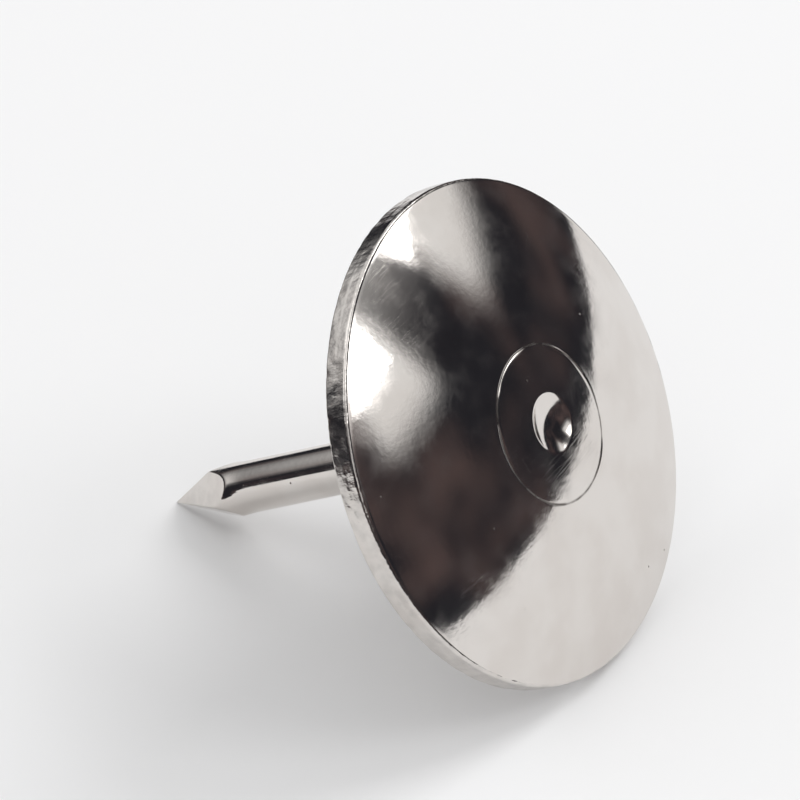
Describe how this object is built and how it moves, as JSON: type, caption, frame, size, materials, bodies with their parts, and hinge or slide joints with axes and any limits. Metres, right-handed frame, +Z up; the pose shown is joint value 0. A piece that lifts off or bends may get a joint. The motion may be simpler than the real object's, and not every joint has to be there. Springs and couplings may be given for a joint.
{
  "type": "thumbtack",
  "caption": "Nickel-plated steel thumbtack with a domed round head and a straight pin held in a hub under it, lying on its rim and point.",
  "frame": {"origin": "on the surface the tack lies on, below the middle of its bounding box", "axes": "+Z up; +Y from the head towards the point along the surface; -Y is the side the domed face looks to. The pin's own axis slopes down towards the point at about 30.9 degrees, because the tack lies on its rim and its point"},
  "size_m": [0.0096, 0.0096, 0.0084],
  "materials": {
    "head_plate": "polished",
    "pin_plate": "polished"
  },
  "bodies": {
    "root": {"head": "head_plate", "pin": "pin_plate"}
  },
  "joints": []
}
